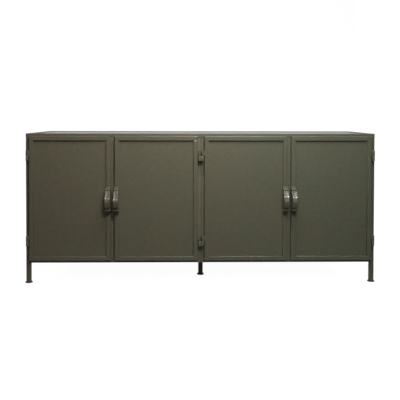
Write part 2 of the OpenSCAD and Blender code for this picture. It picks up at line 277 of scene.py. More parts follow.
def spread(tree, socket, low, high, to_low, to_high):
    """Maps the stretch low to high of a socket onto to_low to to_high, and holds the ends."""
    node = tree.nodes.new("ShaderNodeMapRange")
    node.clamp = True
    feed(tree, node.inputs["Value"], socket)
    for label, value in (("From Min", low), ("From Max", high), ("To Min", to_low), ("To Max", to_high)):
        feed(tree, node.inputs[label], value)
    return node.outputs["Result"]


def between(tree, share, low, high):
    """A number that goes from low to high as the share goes from 0 to 1."""
    node = tree.nodes.new("ShaderNodeMix")
    for number, value in ((0, share), (2, low), (3, high)):
        feed(tree, node.inputs[number], value)
    return node.outputs[0]


def mixed(tree, share, first, second):
    """A colour that goes from the first to the second as the share goes from 0 to 1."""
    node = tree.nodes.new("ShaderNodeMix")
    node.data_type = "RGBA"
    for number, value in ((0, share), (6, first), (7, second)):
        feed(tree, node.inputs[number], value)
    return node.outputs[2]


print("a noise seldom leaves the stretch from", NOISE_LOW, "to", NOISE_HIGH)

# %% [markdown]
# ## Groups
# An effect that several finishes share is built once, as a node group with named inputs. Each finish then
# places the group with its own values, and a mend to the group mends them all.

# %% An empty group
GROUPS = {}


def new_group(name, inputs, output, kind):
    """A shader node group with the given number or colour inputs and one output. Returns the group, a
    dictionary of its inner input sockets and its inner output socket."""
    group = bpy.data.node_groups.new(name, "ShaderNodeTree")
    for label, value in inputs.items():
        colour = isinstance(value, tuple)
        socket = group.interface.new_socket(
            name=label, in_out="INPUT", socket_type="NodeSocketColor" if colour else "NodeSocketFloat")
        socket.default_value = (*value, 1) if colour else value
    group.interface.new_socket(name=output, in_out="OUTPUT", socket_type=kind)
    start = group.nodes.new("NodeGroupInput").outputs
    end = group.nodes.new("NodeGroupOutput").inputs[output]
    return group, {label: start[label] for label in inputs}, end


# %% [markdown]
# ## Paint that drifts in colour
# No sprayed colour is the same all over. A cabinet sprayed from two cans is a little warmer where the first
# one was used, here towards the left, and a little greener towards the right. A picture of the paint could
# show that, but it would blur close up. Noise stays sharp at any distance: broad clouds mix in each tint,
# leaning to its side, and fine clouds lighten and darken.

# %% Group: drift
ANY_GREY = (0.1, 0.1, 0.1)
LEAN = 0.3
OTHER_CLOUDS = (3.1, 7.7, 1.9)
TINT_FROM, TINT_FULL = 0.45, 0.75
MOTTLE_DARK, MOTTLE_LIGHT = 0.93, 1.07


def make_drift():
    """Colour: the base, mixed with Warm where cloud - LEAN * x is high and with Green where another cloud
    + LEAN * x is high, times a fine noise from MOTTLE_DARK to MOTTLE_LIGHT."""
    inputs = {"Colour": ANY_GREY, "Warm": ANY_GREY, "Green": ANY_GREY, "Cloud": 9.0, "Fine": 60.0}
    group, given, end = new_group("drift", inputs, "Colour", "NodeSocketColor")
    at = object_place(group)
    lean = combined(group, "MULTIPLY", part_of(group, at, "X"), LEAN)
    left = combined(group, "SUBTRACT", noise(group, at, given["Cloud"]), lean)
    moved = group.nodes.new("ShaderNodeMapping")
    moved.inputs["Location"].default_value = OTHER_CLOUDS
    feed(group, moved.inputs["Vector"], at)
    right = combined(group, "ADD", noise(group, moved.outputs["Vector"], given["Cloud"]), lean)
    warm, green = (spread(group, side, TINT_FROM, TINT_FULL, 0, 1) for side in (left, right))
    colour = mixed(group, warm, given["Colour"], given["Warm"])
    colour = mixed(group, green, colour, given["Green"])
    scaled = group.nodes.new("ShaderNodeVectorMath")
    scaled.operation = "SCALE"
    feed(group, scaled.inputs[0], colour)
    fine = noise(group, at, given["Fine"], detail=5.0)
    mottle = spread(group, fine, NOISE_LOW, NOISE_HIGH, MOTTLE_DARK, MOTTLE_LIGHT)
    feed(group, scaled.inputs["Scale"], mottle)
    feed(group, end, scaled.outputs["Vector"])
    return group


GROUPS["drift"] = make_drift()
print("drift has", len(GROUPS["drift"].nodes), "nodes")

# %% [markdown]
# ## Skin, gloss, and a mark of wear and painted light
# A sprayed skin isn't smooth: soft waves a few millimetres long, and a finer grain on them, break up every
# reflection. Its gloss isn't even either. And where hands rub, the paint goes thin in specks before it goes
# altogether; the same mark also carries painted highlights and painted light on the handles and welds.
# These three are heights and shares, not colours, so each group gives one number.

# %% Groups: skin, cloudy and rubbed
GRAIN_SHARE = 0.25
RAGGED = 0.3
MARK_FROM, MARK_FULL = 0.35, 0.75


def make_skin():
    """Height: a soft noise plus GRAIN_SHARE of a finer one."""
    group, given, end = new_group("skin", {"Wave": 320.0, "Grain": 2400.0}, "Height", "NodeSocketFloat")
    at = object_place(group)
    grain = combined(group, "MULTIPLY", noise(group, at, given["Grain"], detail=2.0), GRAIN_SHARE)
    feed(group, end, combined(group, "ADD", noise(group, at, given["Wave"], detail=1.0), grain))
    return group


def make_cloudy():
    """Value: wanders between Low and High, with Size clouds to the metre."""
    inputs = {"Low": 0.35, "High": 0.5, "Size": 14.0}
    group, given, end = new_group("cloudy", inputs, "Value", "NodeSocketFloat")
    cloud = noise(group, object_place(group), given["Size"], detail=4.0)
    share = spread(group, cloud, NOISE_LOW, NOISE_HIGH, 0, 1)
    feed(group, end, between(group, share, given["Low"], given["High"]))
    return group


def make_worn_and_highlit():
    """Mask: the piece's own attribute rub, moved up and down by a fine noise of RAGGED each way,
    from 0 at MARK_FROM to 1 at MARK_FULL, so that the border between paint and metal is ragged. The mark is
    paint worn thin by hands, and also painted highlights and painted light."""
    group, given, end = new_group("rubbed", {"Grain": 500.0}, "Mask", "NodeSocketFloat")
    rub = group.nodes.new("ShaderNodeAttribute")
    rub.attribute_name = "rub"
    specks = noise(group, object_place(group), given["Grain"], detail=4.0)
    grain = spread(group, specks, NOISE_LOW, NOISE_HIGH, -RAGGED, RAGGED)
    total = combined(group, "ADD", rub.outputs["Fac"], grain)
    feed(group, end, spread(group, total, MARK_FROM, MARK_FULL, 0, 1))
    return group


GROUPS.update(skin=make_skin(), cloudy=make_cloudy(), rubbed=make_worn_and_highlit())
print("node groups:", ", ".join(GROUPS))

# %% [markdown]
# ## Satin paint
# The olive is a sprayed satin paint, dull enough to hide reflections yet glossy at a glancing angle, as the
# top shows. Paint is not a metal, so it is a Principled shader with no metallic share. Only where the mask
# marks it does it turn to metal: where hands have worn through it, and where the mark is a painted highlight
# or painted light.

# %% Helpers for materials


def placed_group(tree, name, **values):
    """The result of a shared effect in a material, with the effect's own values for this finish."""
    node = tree.nodes.new("ShaderNodeGroup")
    node.node_tree = GROUPS[name]
    for label, value in values.items():
        feed(tree, node.inputs[label], value)
    return node.outputs[0]


def new_material(name):
    """An empty node material, its tree and its Principled shader's sockets."""
    material = bpy.data.materials.new(name)
    material.use_nodes = True
    tree = material.node_tree
    return material, tree, tree.nodes["Principled BSDF"].inputs


def bumped(tree, shader, height, strength, distance):
    """Lets a height tilt the surface that the light sees, through a Bump node."""
    bump = tree.nodes.new("ShaderNodeBump")
    for label, value in (("Height", height), ("Strength", strength), ("Distance", distance)):
        feed(tree, bump.inputs[label], value)
    feed(tree, shader["Normal"], bump.outputs["Normal"])


# %% Paint
# The marked places: worn paint, and painted highlights and painted light.
MARK_ROUGHNESS = 0.36
MARK_METAL = 0.25


def paint(name, tints, roughness, shine=0.30, mark_colour=None):
    """Satin paint of three tints, the base, a warm one and a green one, with an uneven roughness between two
    values. With a mark colour, the places that the mask marks show metal of that colour: worn paint, and
    painted highlights and painted light."""
    material, tree, shader = new_material(name)
    base = placed_group(tree, "drift", Colour=tints[0], Warm=tints[1], Green=tints[2])
    rough = placed_group(tree, "cloudy", Low=roughness[0], High=roughness[1])
    feed(tree, shader["Specular IOR Level"], shine)
    if mark_colour:
        rubbed = placed_group(tree, "rubbed")
        base = mixed(tree, rubbed, base, mark_colour)
        rough = between(tree, rubbed, rough, MARK_ROUGHNESS)
        feed(tree, shader["Metallic"], combined(tree, "MULTIPLY", rubbed, MARK_METAL))
    feed(tree, shader["Base Color"], base)
    feed(tree, shader["Roughness"], rough)
    bumped(tree, shader, placed_group(tree, "skin"), strength=0.12, distance=0.4 * mm)
    return material


# %% [markdown]
# ## Plated steel and moulded plastic
# The loose parts weren't sprayed. Pins, washers and screws are zinc-plated steel, a metal that is a little
# cloudy. The cases of the catches are black plastic, whose mould was roughened so that it doesn't shine.
# Both are the same set of nodes as the paint, with finer clouds, so one function makes the two.

# %% Plain finishes


def plain_finish(name, colour, metal, roughness, clouds, skin, bump):
    """A finish of one colour. Clouds holds the scales of the broad, fine and gloss clouds, and skin the two
    scales of the skin, all to the metre."""
    material, tree, shader = new_material(name)
    broad, fine, gloss = clouds
    tints = {"Colour": colour, "Warm": colour, "Green": colour}
    feed(tree, shader["Base Color"], placed_group(tree, "drift", **tints, Cloud=broad, Fine=fine))
    low, high = roughness
    feed(tree, shader["Roughness"], placed_group(tree, "cloudy", Low=low, High=high, Size=gloss))
    feed(tree, shader["Metallic"], metal)
    skin_height = placed_group(tree, "skin", Wave=skin[0], Grain=skin[1])
    bumped(tree, shader, skin_height, strength=bump, distance=0.2 * mm)
    return material


# %% [markdown]
# ## The colours
# One can of olive paints everything, but it doesn't look the same everywhere. It lies dull on the top rails
# and the lower halves of the hinges, whose darker colour is painted shade, and the posts between the doors
# are painted lighter, which is painted light. The centre leg and the feet are darker; on the centre leg, which
# stands back under the body, that is painted shade. The handles of the left pair wear to a copper tone and
# those of the right pair to a pale one, and that worn band also holds a painted highlight. A colour here is
# the share of red, green and blue light that a surface sends back, which for these dark olives is a tenth
# or less.

# %% The finishes of this cabinet
OLIVE = ((0.086, 0.080, 0.051), (0.091, 0.079, 0.050), (0.079, 0.082, 0.053))
HANDLE_OLIVE = ((0.076, 0.073, 0.046), (0.080, 0.074, 0.046), (0.074, 0.075, 0.048))
# Darker than the olive: painted shade on the top rails and the lower hinge halves.
RAIL_OLIVE_WITH_PAINTED_SHADE = ((0.074, 0.069, 0.046), (0.078, 0.068, 0.045), (0.068, 0.070, 0.048))
# Lighter than the olive: painted light on the posts in the gaps between the doors.
POST_OLIVE_WITH_PAINTED_LIGHT = ((0.104, 0.097, 0.062), (0.108, 0.094, 0.060), (0.096, 0.099, 0.064))
# On the centre leg this darker olive is painted shade.
DARK_OLIVE = ((0.050, 0.046, 0.033),) * 3
ZINC = (0.42, 0.40, 0.37)
SOFT_BLACK = (0.020, 0.020, 0.019)
# Colours of the worn band on the handles, which also paint its highlight; the pale one paints the glints on the
# welds.
COPPER_TONE = (0.29, 0.205, 0.13)
PALE_STEEL = (0.31, 0.305, 0.31)

MATERIALS["olive_paint"] = paint("olive_paint", OLIVE, (0.28, 0.36))
MATERIALS["dark_olive_paint"] = paint("dark_olive_paint", DARK_OLIVE, (0.40, 0.52))
MATERIALS["bare_steel"] = plain_finish(
    "bare_steel", ZINC, 1, (0.28, 0.45), (60.0, 500.0, 120.0), (900.0, 5000.0), 0.1)
MATERIALS["black_plastic"] = plain_finish(
    "black_plastic", SOFT_BLACK, 0, (0.5, 0.62), (9.0, 900.0, 200.0), (2500.0, 6000.0), 0.3)
# The worn band of the handles is worn paint and a painted highlight.
handle_paint = {
    "warm": paint("olive_paint_rubbed_warm", HANDLE_OLIVE, (0.34, 0.42), 0.45, COPPER_TONE),
    "pale": paint("olive_paint_rubbed_pale", HANDLE_OLIVE, (0.34, 0.42), 0.45, PALE_STEEL),
}
# A darker, rougher coat: the darker colour is painted shade.
rail_paint_with_painted_shade = paint("olive_paint_rails", RAIL_OLIVE_WITH_PAINTED_SHADE, (0.46, 0.56))
# A lighter coat: painted light.
post_paint_with_painted_light = paint("olive_paint_posts", POST_OLIVE_WITH_PAINTED_LIGHT, (0.28, 0.36))
for node, thing in NODES.items():
    thing.data.materials.clear()
    thing.data.materials.append(MATERIALS[SLOT_OF[node]])
print("finishes:", ", ".join(MATERIALS), "and", len(handle_paint) + 2, "more coats of the olive")

# %% [markdown]
# ## Square tube
# The frame is square steel tube, 20 mm wide, bent from sheet, so its corners are round and its faces flat.
# It could be a cube with a Bevel modifier. Here it is an outline carried along a line, which also gives a
# cut at 45 degrees and four different corners. The outline has an extra point on each flat, close to the
# round corner, on both sides of it. They hold the flat's shading flat, where a bare round corner would let
# the light run over the whole face. The ends are drawn in a little, so two tubes that meet leave the fine
# seam of a ground weld.

# %% Outline
HOLD = 0.6 * mm
QUARTERS = np.array([[1, 1], [-1, 1], [-1, -1], [1, -1]])


def outline(width, height, radius, steps=4):
    """A rectangle with round corners, anticlockwise, as points (u, v): each corner is a quarter circle about
    its centre, with one more point HOLD along each flat. Widths and heights may be arrays, one value for each
    ring, and the radius may be four values, for the corners (+, +), (-, +), (-, -) and (+, -)."""
    radius = np.broadcast_to(radius, 4)[:, None, None]
    turn = np.arange(4)[:, None] * np.pi / 2 + np.linspace(0, np.pi / 2, steps + 1)
    ring = radius * np.stack([np.cos(turn), np.sin(turn)], -1)
    tangent = np.stack([-np.sin(turn), np.cos(turn)], -1)
    before = ring[:, :1] - HOLD * tangent[:, :1]
    after = ring[:, -1:] + HOLD * tangent[:, -1:]
    ring = np.concatenate([before, ring, after], 1)
    half = np.stack(np.broadcast_arrays(width, height), -1) / 2
    centres = QUARTERS[:, None, :] * (half[..., None, None, :] - radius)
    return (ring + centres).reshape(*np.shape(half)[:-1], -1, 2)


print("points round a tube:", outline(TUBE, TUBE, TUBE_CORNER).shape[0])

# %% Tube
EASE = 0.3 * mm


def tube(start, end, up, width=TUBE, height=TUBE, radius=TUBE_CORNER, mitre=(0, 0), ease=EASE):
    """A tube from start to end: point = start + along * (station + mitre * v) + across * u + up * v, for four
    stations, with the outline of the first and last drawn in by ease. A mitre of 1 is a cut at 45 degrees."""
    start, end, up = (np.array(value, float) for value in (start, end, up))
    length = np.linalg.norm(end - start)
    along = (end - start) / length
    across = np.cross(up, along)
    full = outline(width, height, radius)
    small = outline(width - 2 * ease, height - 2 * ease, np.array(radius) - ease)
    rings = np.stack([small, full, full, small])
    station = np.array([0, ease, length - ease, length])
    reach = station[:, None] + np.repeat(mitre, 2)[:, None] * rings[..., 1]
    return closed_rings(start + along * reach[..., None] + across * rings[..., :1] + up * rings[..., 1:])


def straight_tube(node):
    """The tube that fills a node's box, along the box's longest side."""
    low, high = corners(node)
    axis = int(np.argmax(high - low))
    start, end, up = (low + high) / 2, (low + high) / 2, np.zeros(3)
    start[axis], end[axis], up[(axis + 2) % 3] = low[axis], high[axis], 1
    return tube(start, end, up, (high - low)[(axis + 1) % 3], (high - low)[(axis + 2) % 3])


def mitred_tube(start, end, inward, radius=TUBE_CORNER):
    """One side of a frame with 45 degree corners: start and end are corners of the frame's centre line."""
    return tube(start, end, inward, radius=radius, mitre=(1, -1))


print("points in a metre of tube:", len(tube((0, 0, 0), (1, 0, 0), (0, 0, 1))[0]))

# %% [markdown]
# ## Posts and rails
# Posts and lower rails butt against each other, and the welds between them are ground away. Each becomes a
# tube that fills its node's box.

# %% Posts, lower rails and leg
MEETING_POSTS = ("front_centre_left_post", "front_centre_right_post", "left_mid_post", "right_mid_post")
STRAIGHT = [
    "front_left_post", "front_right_post", "rear_left_post", "rear_right_post", "rear_centre_post",
    *MEETING_POSTS,
    "front_left_bottom_rail", "front_right_bottom_rail", "rear_bottom_rail", "left_bottom_rail",
    "right_bottom_rail", "bottom_cross_rail", "top_cross_rail", "centre_leg",
]
for node in STRAIGHT:
    # The posts between the doors get the lighter coat, which is painted light.
    finish = post_paint_with_painted_light if node in MEETING_POSTS else None
    piece = mesh_object(node + "_tube", straight_tube(node))
    place(piece, BODY_OF[node], SLOT_OF[node], node, finish=finish)
print("straight tubes:", len(STRAIGHT))

# %% [markdown]
# ## Top rim
# The four rails round the top are cut at 45 degrees where they meet, like a picture frame. Each is drawn
# between two corners of the rim's centre line, with its inner side turned towards the middle of the top.

# %% Top rails
rim_x, rim_z = SIDE - TUBE / 2, TOP - TUBE / 2
rim_front, rim_rear = FRONT + TUBE / 2, REAR - TUBE / 2
RIM = {
    "front_top_rail": ((-rim_x, rim_front, rim_z), (rim_x, rim_front, rim_z), (0, 1, 0)),
    "right_top_rail": ((rim_x, rim_front, rim_z), (rim_x, rim_rear, rim_z), (-1, 0, 0)),
    "rear_top_rail": ((rim_x, rim_rear, rim_z), (-rim_x, rim_rear, rim_z), (0, -1, 0)),
    "left_top_rail": ((-rim_x, rim_rear, rim_z), (-rim_x, rim_front, rim_z), (1, 0, 0)),
}
# The rails get the darker coat, which is painted shade.
for node, line in RIM.items():
    place(mesh_object(node + "_tube", mitred_tube(*line)), "cabinet", "olive_paint", node, finish=rail_paint_with_painted_shade)
print("mitred tubes:", len(RIM))

# %% [markdown]
# ## Sheet
# Thin sheet that is welded along its edges never stays flat: the heat leaves slow hollows and swellings, a
# few tenths of a millimetre deep, which only reflections betray. A bump could fake them, but not at the
# sheet's silhouette. So both faces of a sheet are a grid that is moved along its normal by a few slow waves.
# A window, nought at the borders, keeps the edges where the tubes are.

# %% Waves
WAVES = ((0.8, 0.5), (1.6, 0.3), (2.7, 0.2))


def waves(s, t, seed):
    """Slow waves on a unit square, from -1 to 1: a sum of sines of seeded directions and phases, each with
    its count and weight, times a window of 1 - cos(pi * s) ** 6 each way, which is nought and level at the
    borders."""
    chance = np.random.default_rng(seed)
    total = np.zeros_like(s)
    for count, weight in WAVES:
        turn, phase = chance.uniform(0, 2 * np.pi, 2)
        total = total + weight * np.sin(2 * np.pi * count * (s * np.cos(turn) + t * np.sin(turn)) + phase)
    return total * (1 - np.cos(np.pi * s) ** 6) * (1 - np.cos(np.pi * t) ** 6)


print("waves at a corner:", float(waves(np.zeros(1), np.zeros(1), 0)[0]))

# %% Sheet
SHEET_GRID = 14 * mm


def sheet(low, high, depth, seed):
    """A closed thin sheet between two corners. Both faces are grids of (s, t) moved along the normal by
    depth * waves(s, t), and a rim of narrow faces joins their borders."""
    size = high - low
    normal = int(np.argmin(size))
    first, second = (normal + 1) % 3, (normal + 2) % 3
    rows, columns = (max(8, int(size[axis] / SHEET_GRID)) for axis in (first, second))
    s, t = np.meshgrid(np.linspace(0, 1, rows), np.linspace(0, 1, columns), indexing="ij")
    points = np.zeros((2, rows, columns, 3))
    points[..., first] = low[first] + size[first] * s
    points[..., second] = low[second] + size[second] * t
    points[..., normal] = np.array([low[normal], high[normal]])[:, None, None] + depth * waves(s, t, seed)
    count = rows * columns
    number = np.arange(count).reshape(rows, columns)
    border = np.concatenate([number[0, :-1], number[:-1, -1], number[-1, :0:-1], number[:0:-1, 0]])
    beyond = np.roll(border, -1)
    rim = np.stack([border + count, beyond + count, beyond, border], -1)
    face = grid_faces(rows, columns)
    return solid(points, face, face[:, ::-1] + count, rim)


# %% The sheets of the cabinet
FIRST_SEED = 11
SHEETS = {
    "top_panel": 0.5 * mm, "left_side_panel": 0.9 * mm, "right_side_panel": 0.9 * mm,
    "left_back_panel": 1.2 * mm, "right_back_panel": 1.2 * mm,
    "door_1_panel": 0.5 * mm, "door_2_panel": 0.5 * mm, "door_3_panel": 0.5 * mm, "door_4_panel": 0.5 * mm,
}
for seed, (node, depth) in enumerate(SHEETS.items(), FIRST_SEED):
    shape = sheet(*corners(node), depth, seed)
    place(mesh_object(node + "_sheet", shape), BODY_OF[node], "olive_paint", node)
print(len(SHEETS), "sheets, the deepest waves", max(SHEETS.values()) / mm, "mm")

# %% [markdown]
# ## Door frames
# Each door is four tubes cut at 45 degrees, welded at the corners and ground flush. Drawn as four mitred
# tubes in one mesh, the frame keeps a hair-fine seam across each corner, as paint over a ground weld does.
# The radii of the tube's corners decide which edges catch the light. The outer edges and the lower tube's
# inner one are soft and shine. The inner edges of the upper and the left tube are crisp.

# %% Door frames
DOOR_CORNERS = {
    "lower": np.array((1.6, 3.0, 3.0, 1.6)) * mm,
    "right": np.array((1.6, 2.2, 3.0, 1.6)) * mm,
    "upper": np.array((1.6, 0.6, 3.0, 1.6)) * mm,
    "left": np.array((1.6, 0.6, 3.0, 1.6)) * mm,
}
INWARD = {"lower": (0, 0, 1), "right": (-1, 0, 0), "upper": (0, 0, -1), "left": (1, 0, 0)}


def door_frame(low, high):
    """Four mitred tubes round the rectangle that the door's box gives, their centre lines half a tube inside
    it. The radii are those of the edges inner-rear, inner-front, outer-front and outer-rear."""
    left, right = low[0] + TUBE / 2, high[0] - TUBE / 2
    bottom, top = low[2] + TUBE / 2, high[2] - TUBE / 2
    y = (low[1] + high[1]) / 2
    line = [(left, y, bottom), (right, y, bottom), (right, y, top), (left, y, top)]
    following = line[1:] + line[:1]
    return joined([mitred_tube(start, end, INWARD[side], DOOR_CORNERS[side])
                   for side, start, end in zip(INWARD, line, following)])


for door in DOORS:
    node = door + "_frame"
    place(mesh_object(node + "_tubes", door_frame(*corners(node))), door, "olive_paint", node)
    print(door, "is", np.round((corners(node)[1] - corners(node)[0]) / mm, 1), "mm")

# %% [markdown]
# ## Weld beads
# A bead is a row of small overlapping pools that froze one after the other. A line of little spheres would
# show that too, with many hidden faces. Here it is one thin round bar, half sunk in the joint that it
# fills, whose radius swells and shrinks along its length and tapers off at both ends.

# %% Weld bead
POOL = 2.2 * mm
RIPPLE = 0.14
DOOR_BEAD = 1.5 * mm


def bead(start, end, radius=1.6 * mm):
    """A rippled bar: rings of ten points of radius * taper * (0.9 + RIPPLE * |sin|), where the sine runs
    through half a turn for each pool. The taper is 1 along the middle and falls like a quarter of an ellipse
    over one and a half radii at each end."""
    start, end = np.array(start, float), np.array(end, float)
    length = np.linalg.norm(end - start)
    along = (end - start) / length
    side = np.cross(along, np.where(np.abs(along) < 0.9, 1.0, 0.0))
    side /= np.linalg.norm(side)
    other = np.cross(along, side)
    way = np.linspace(0, 1, max(9, int(length / POOL * 4)))[:, None]
    past_middle = np.clip(np.abs(2 * way - 1) - (1 - 3 * radius / length), 0, None)
    taper = np.sqrt(np.clip(1 - past_middle ** 2 / (3.2 * radius / length) ** 2, 0.02, 1))
    swell = radius * taper * (0.9 + RIPPLE * np.abs(np.sin(np.pi * way * length / POOL)))
    turn = np.linspace(0, 2 * np.pi, 10, endpoint=False)[None, :]
    ring = swell[..., None] * (np.cos(turn)[..., None] * side + np.sin(turn)[..., None] * other)
    return closed_rings(start + along * (way * length)[..., None] + ring)


print("rings in a bead of 16 mm:", len(bead((0, 0, 0), (16 * mm, 0, 0), DOOR_BEAD)[0]) // 10)

# %% [markdown]
# ## Tack welds and ground spots
# Where a welder only tacks two pieces, or grinds a weld, a low dome shows. It is half an ellipsoid, pressed
# a little into the steel, and its attribute rub says how much of a metal mark lies on it,
# which on these domes is a painted glint.

# %% Dab and rubbed piece
PRESS = 0.3 * mm


def dab(centre, size, reach):
    """A low dome: a grid over half an ellipsoid, x = size * sin(a) * cos(b), z = size * sin(a) * sin(b), and
    y = -reach * cos(a), closed by its own outline pressed into the steel."""
    a = np.linspace(0.02, np.pi / 2, 7)[:, None]
    b = np.linspace(0, 2 * np.pi, 20, endpoint=False)[None, :]
    across, up = size[0] * np.sin(a) * np.cos(b), size[1] * np.sin(a) * np.sin(b)
    out = np.broadcast_to(-reach * np.cos(a), across.shape)
    rings = np.stack([across, out, up], -1)
    foot = rings[-1:] + np.array([0, PRESS, 0])
    return closed_rings(np.concatenate([rings, foot]) + np.array(centre, float))


def worn_and_highlit_piece(name, shape, rub, crease=38):
    """A mesh object with the attribute rub, one value for all points or one for each: 0 is plain
    paint and 1 is the full metal mark, worn paint or a painted highlight."""
    piece = mesh_object(name, shape, crease)
    values = np.broadcast_to(rub, len(piece.data.vertices)).astype(float)
    piece.data.attributes.new("rub", "FLOAT", "POINT").data.foreach_set("value", values)
    return piece


print("points in a dab:", len(dab((0, 0, 0), (1, 1), 1)[0]))

# %% [markdown]
# ## Welds of the doors
# The corners of a door's frame are welded on the rear, where nobody sees it, by a bead along each seam. The
# sheet is stitched to the frame from behind by short beads, because a long one would warp it: one in the
# middle of each side and one towards either end. At one corner of the second door a weld was ground from
# the front, and a painted glint lies on it.

# %% Welds of the doors
SEAM = (1 * mm, 17 * mm)
BEAD_SINK = 0.2 * mm
HALF_STITCH = 12 * mm
STITCHES = (-0.8, 0.0, 0.8)
GROUND_PLACE = (8.6 * mm, -3.0 * mm)
GROUND_SIZE = (5.6 * mm, 4.6 * mm)
GROUND_REACH = 0.9 * mm
# Painted glint on the ground weld.
GROUND_GLINT = 0.52


def seam_beads(low, high):
    """Beads on the rear of a frame along its four seams, and the inner corners where they start."""
    inner = [(x, z) for x in (low[0] + TUBE, high[0] - TUBE) for z in (low[2] + TUBE, high[2] - TUBE)]
    y = high[1] - BEAD_SINK
    outward = ((-1, -1), (-1, 1), (1, -1), (1, 1))
    ends = [[(x + s * step, y, z + r * step) for step in SEAM] for (x, z), (s, r) in zip(inner, outward)]
    return [bead(start, end, DOOR_BEAD) for start, end in ends], inner


def stitch_beads(low, high):
    """Short beads across the four borders of a sheet's rear face, at the shares STITCHES of each side."""
    middle, reach = (low + high) / 2, (high - low) / 2
    half_x, half_z = np.array([HALF_STITCH, 0, 0]), np.array([0, 0, HALF_STITCH])
    beads = []
    for share in STITCHES:
        for s in (-1, 1):
            beside = np.array([middle[0] + s * reach[0], high[1], middle[2] + share * reach[2]])
            across = np.array([middle[0] + share * reach[0], high[1], middle[2] + s * reach[2]])
            beads += [bead(beside - half_z, beside + half_z, DOOR_BEAD),
                      bead(across - half_x, across + half_x, DOOR_BEAD)]
    return beads


for door in DOORS:
    low, high = corners(door + "_frame")
    seams, inner = seam_beads(low, high)
    stitches = stitch_beads(*corners(door + "_panel"))
    place(mesh_object(door + "_welds", joined(seams + stitches)), door, "olive_paint")
    if door == "door_2":
        x, z = inner[3]
        shape = dab((x + GROUND_PLACE[0], low[1], z + GROUND_PLACE[1]), GROUND_SIZE, GROUND_REACH)
        # The ground weld's dab carries a painted glint in the pale coat.
        ground = worn_and_highlit_piece("door_2_ground_weld", shape, GROUND_GLINT)
        place(ground, door, "olive_paint", finish=handle_paint["pale"])
print("weld beads on each door:", len(seams + stitches))

# %% [markdown]
# ## Turned parts and blocks
# Hinge barrels and feet come off a lathe. A profile turned round an axis does what the lathe did. Blender's
# Screw modifier would do the same, but its profile would be a mesh and not a list of sizes. The flat parts
# of a hinge are cut from bar, so they are short pieces of the tube's outline with small radii.

# %% Turned parts and soft blocks
BAR_CORNER = 0.6 * mm


def turned(profile, centre, steps=28):
    """A profile of (radius, height) points turned round an upright axis through centre, with flat ends."""
    radius, height = np.array(profile, float).T
    turn = np.linspace(0, 2 * np.pi, steps, endpoint=False)
    rings = np.stack(np.broadcast_arrays(
        radius[:, None] * np.cos(turn), radius[:, None] * np.sin(turn), height[:, None]), -1)
    return closed_rings(rings + np.array(centre, float))


def soft_block(low, high):
    """A block with rounded upright edges and eased ends, between two corners."""
    low, high = np.minimum(low, high), np.maximum(low, high)
    start, end = (low + high) / 2, (low + high) / 2
    start[2], end[2] = low[2], high[2]
    width, depth = high[0] - low[0], high[1] - low[1]
    return tube(start, end, (0, 1, 0), width, depth, BAR_CORNER, ease=BAR_CORNER * 0.7)


print("points in a block:", len(soft_block((0, 0, 0), (1, 1, 1))[0]))

# %% [markdown]
# ## Hinges
# Each hinge is a pair of turned barrels. The lower one carries the pin and is welded to the post by a
# narrow web. The upper one drops over the pin and is welded to the door's edge, so a door lifts off. The
# pins' places are those of the joints that the model turns its doors about, so the barrels always stay true
# to the motion.

# %% Sizes of a hinge
PINS = [np.array(joint["pos_m"]) for joint in frame["joints"]]
DOOR_SIDE = (-1, 1, -1, 1)
HINGE_HEIGHT = 50 * mm
HINGE_GAP = 1 * mm
HALF_HEIGHT = (HINGE_HEIGHT - HINGE_GAP) / 2
FOOT_LIFT = 2.5 * mm
WASHER_GAP = 0.55 * mm
BORE = 3.05 * mm
BORE_FLOOR = 2.5 * mm
TOP_CLEARANCE = 0.05 * mm
WEB = 6 * mm
HINGE_Y = PINS[0][1]
BARREL = HINGE_Y - corners("hinge_frame_knuckles")[0][1]
HINGE_Z = (
    corners("hinge_frame_knuckles")[0][2] + HINGE_HEIGHT / 2,
    corners("door_1_hinge_knuckles")[1][2] - TOP_CLEARANCE - HINGE_HEIGHT / 2,
)
print("hinge centres at", [round(z, 4) for z in HINGE_Z], "barrel radius", round(BARREL / mm, 2), "mm")

# %% [markdown]
# ## Barrels
# A barrel's profile goes round its wall: for the lower one from the foot up the outside to the mouth and
# down the bore to its floor, and for the upper one from the bore's roof down to the mouth and up the
# outside to the bevelled top. Small steps at the ends are the chamfers that a turner leaves.

# %% Barrels of a hinge


def lower_barrel(x, z):
    """Outside from the foot up to the mouth, then down the bore to its floor."""
    h, r = HALF_HEIGHT - FOOT_LIFT, BARREL
    profile = [(r - 0.6 * mm, 0), (r - 0.4 * mm, 0.05 * mm), (r, 0.5 * mm), (r, h - 0.5 * mm),
               (r - 0.3 * mm, h - 0.1 * mm), (r - 0.6 * mm, h), (BORE, h), (BORE, BORE_FLOOR)]
    return turned(profile, (x, HINGE_Y, z - HINGE_HEIGHT / 2 + FOOT_LIFT))


def upper_barrel(x, z):
    """Down the bore from its roof to the mouth, then up the outside to the bevelled top."""
    h, r = HALF_HEIGHT, BARREL
    profile = [(BORE, h - BORE_FLOOR), (BORE, 0), (r - 0.6 * mm, 0), (r - 0.3 * mm, 0.1 * mm), (r, 0.5 * mm),
               (r, h - 1.3 * mm), (r - 0.1 * mm, h - 0.9 * mm), (r - 1.0 * mm, h - 0.1 * mm),
               (r - 1.3 * mm, h)]
    return turned(profile, (x, HINGE_Y, z + WASHER_GAP))


print("points in a barrel:", len(lower_barrel(0, 0)[0]), "and", len(upper_barrel(0, 0)[0]))

# %% [markdown]
# ## Lower halves
# The lower halves stay on the posts. At the middle posts two of them stand side by side, so a bridge joins
# their barrels, and a flat block in front of it hides the gap between them. A tack weld holds the block.
# Each tack carries a painted highlight, faint on the lower pair and stronger on the upper pair. The lower
# halves take the darker coat of the rails, which is painted shade.

